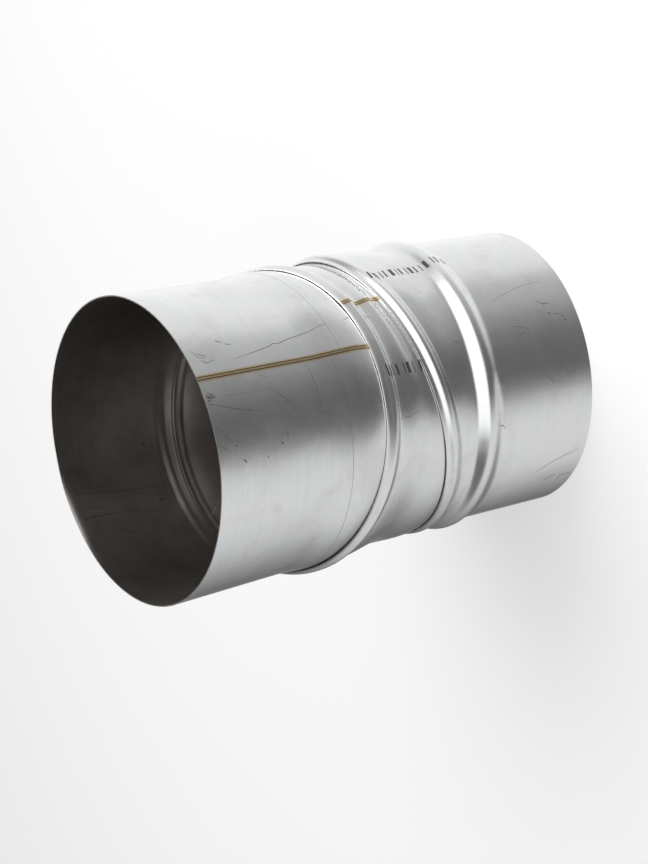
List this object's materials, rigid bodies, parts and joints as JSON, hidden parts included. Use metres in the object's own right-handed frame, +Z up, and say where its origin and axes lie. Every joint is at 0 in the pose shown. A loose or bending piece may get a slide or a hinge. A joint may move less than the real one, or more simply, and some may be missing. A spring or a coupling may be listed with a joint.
{
  "type": "adjustable flue elbow",
  "caption": "Thin stainless sheet elbow for a stove pipe: plain spigot, wedge-shaped middle and beaded socket that turn on oblique rolled beads.",
  "frame": {"origin": "centre of the socket's open edge", "axes": "+Z up the socket's axis into the elbow; +X towards the socket section's short side"},
  "size_m": [0.1749, 0.1887, 0.2683],
  "materials": {
    "stainless": "bright rolled sheet, satin to semi-gloss"
  },
  "bodies": {
    "socket": {"socket_section": "stainless"},
    "middle": {"middle_section": "stainless"},
    "spigot": {"spigot_section": "stainless"}
  },
  "joints": [
    {"name": "lower_swivel", "type": "hinge", "parent": "socket", "child": "middle", "pos_m": [0, 0, 0.10354], "axis": [0.1951, 0, 0.9808], "continuous": true},
    {"name": "upper_swivel", "type": "hinge", "parent": "middle", "child": "spigot", "pos_m": [0.00658, 0.01063, 0.16258], "axis": [0.0187, 0.3454, 0.9383], "continuous": true}
  ]
}
